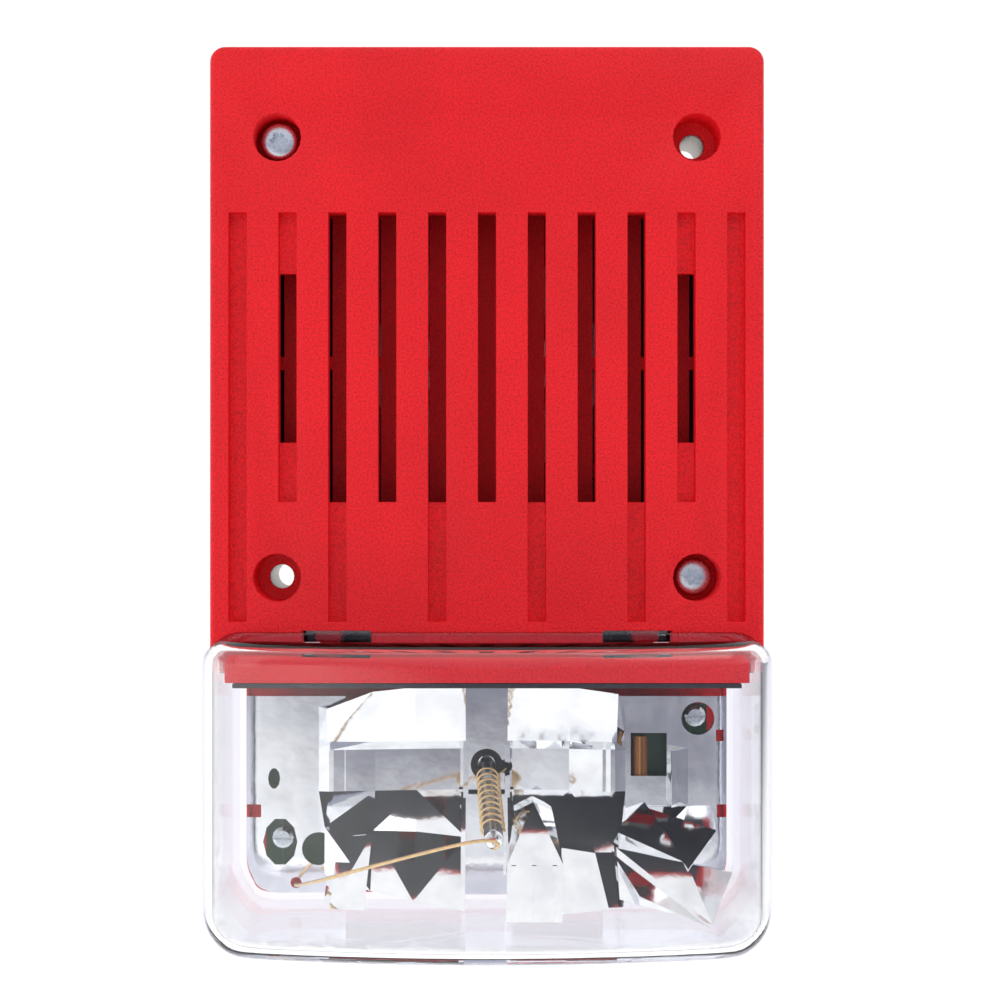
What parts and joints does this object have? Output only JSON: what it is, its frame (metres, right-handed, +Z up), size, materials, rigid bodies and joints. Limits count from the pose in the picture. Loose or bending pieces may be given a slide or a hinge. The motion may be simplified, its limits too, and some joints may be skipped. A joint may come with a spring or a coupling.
{
  "type": "horn strobe",
  "caption": "Red wall-mounted fire alarm horn strobe with a vertical-slot grille over the horn and a clear wrap-around lens over a xenon flash tube and mirror reflector.",
  "frame": {"origin": "on the wall plane, in the middle of the object's width and height", "axes": "+Y into the wall, so the front faces -Y; +Z up with the horn grille at the top and the lens at the bottom; +X to the right as seen by someone facing the object"},
  "size_m": [0.127, 0.0698, 0.2032],
  "materials": {
    "red_plastic": "fine spark-eroded texture",
    "clear_lens": "clear polished polycarbonate",
    "mirror_coating": "vacuum-metallised plastic",
    "tube_glass": "fire-polished glass",
    "tube_electrode": "drawn wire and sintered metal",
    "wire_gold": "bare drawn wire",
    "zinc_screw": "bright zinc plating, bluish",
    "small_screw": "bright zinc plating",
    "sleeve_steel": "plain turned steel",
    "horn_steel": "plain sheet and bar",
    "black_plastic": "moulded, matt",
    "seal_foam": "closed-cell foam",
    "ferrite": "sintered ferrite",
    "copper_winding": "enamelled copper wire",
    "amber_winding": "enamelled wire under clear varnish",
    "bobbin_film": "natural nylon",
    "board_laminate": "solder-masked laminate",
    "capacitor_sleeve": "shrunk sleeve",
    "terminal_green": "moulded",
    "contact_brass": "stamped",
    "lead_red": "extruded insulation",
    "lead_black": "extruded insulation"
  },
  "bodies": {
    "base": {"front_housing": "red_plastic", "grille_baffle": "red_plastic", "lens": "clear_lens", "reflector": "mirror_coating", "flash_tube": "tube_glass", "front_electrode": "tube_electrode", "rear_electrode": "tube_electrode", "trigger_wire": "wire_gold", "return_lead": "wire_gold", "strobe_screw_1": "small_screw", "strobe_screw_2": "small_screw", "horn_screw_1": "small_screw", "horn_screw_2": "small_screw", "horn_screw_3": "small_screw", "board_screw_1": "small_screw", "board_screw_2": "small_screw", "board_screw_3": "small_screw", "board_screw_4": "small_screw", "rear_plate_screw_1": "small_screw", "rear_plate_screw_2": "small_screw", "rear_plate_screw_3": "small_screw", "rear_plate_screw_4": "small_screw", "screw_sleeve_1": "sleeve_steel", "screw_sleeve_2": "sleeve_steel", "screw_sleeve_3": "sleeve_steel", "screw_sleeve_4": "sleeve_steel", "pole_piece": "horn_steel", "horn_frame": "black_plastic", "clamp_ring": "black_plastic", "tube_socket": "black_plastic", "rear_plate": "black_plastic", "driver_chip": "black_plastic", "switching_transistor": "black_plastic", "chamber_seal": "seal_foam", "horn_magnet": "ferrite", "boost_inductor": "ferrite", "horn_coil": "copper_winding", "trigger_coil": "amber_winding", "coil_bobbin": "bobbin_film", "strobe_board": "board_laminate", "main_board": "board_laminate", "storage_capacitor": "capacitor_sleeve", "terminal_block": "terminal_green", "contact_plate_1": "contact_brass", "contact_plate_2": "contact_brass", "contact_plate_3": "contact_brass", "contact_plate_4": "contact_brass", "horn_lead_plus": "lead_red", "strobe_lead_plus": "lead_red", "horn_lead_minus": "lead_black", "strobe_lead_minus": "lead_black"},
    "horn_diaphragm": {"diaphragm": "horn_steel", "armature": "horn_steel"},
    "top_left_screw": {"cover_screw_top_left": "zinc_screw"},
    "bottom_right_screw": {"cover_screw_bottom_right": "zinc_screw"},
    "terminal_screw_body_1": {"terminal_screw_1": "small_screw"},
    "terminal_screw_body_2": {"terminal_screw_2": "small_screw"},
    "terminal_screw_body_3": {"terminal_screw_3": "small_screw"},
    "terminal_screw_body_4": {"terminal_screw_4": "small_screw"}
  },
  "joints": [
    {"name": "diaphragm_travel", "type": "slide", "parent": "base", "child": "horn_diaphragm", "axis": [0, 1, 0], "range_m": [-0.0003, 0.0003], "stiffness_N_per_m": 2000},
    {"name": "top_left_screw_turn", "type": "hinge", "parent": "base", "child": "top_left_screw", "pos_m": [-0.048, -0.03, 0.0806], "axis": [0, 1, 0], "continuous": true},
    {"name": "bottom_right_screw_turn", "type": "hinge", "parent": "base", "child": "bottom_right_screw", "pos_m": [0.048, -0.03, -0.0201], "axis": [0, 1, 0], "continuous": true},
    {"name": "terminal_screw_1_turn", "type": "hinge", "parent": "base", "child": "terminal_screw_body_1", "pos_m": [-0.0135, -0.006, -0.0125], "axis": [0, 1, 0], "continuous": true},
    {"name": "terminal_screw_2_turn", "type": "hinge", "parent": "base", "child": "terminal_screw_body_2", "pos_m": [-0.0045, -0.006, -0.0125], "axis": [0, 1, 0], "continuous": true},
    {"name": "terminal_screw_3_turn", "type": "hinge", "parent": "base", "child": "terminal_screw_body_3", "pos_m": [0.0045, -0.006, -0.0125], "axis": [0, 1, 0], "continuous": true},
    {"name": "terminal_screw_4_turn", "type": "hinge", "parent": "base", "child": "terminal_screw_body_4", "pos_m": [0.0135, -0.006, -0.0125], "axis": [0, 1, 0], "continuous": true}
  ]
}
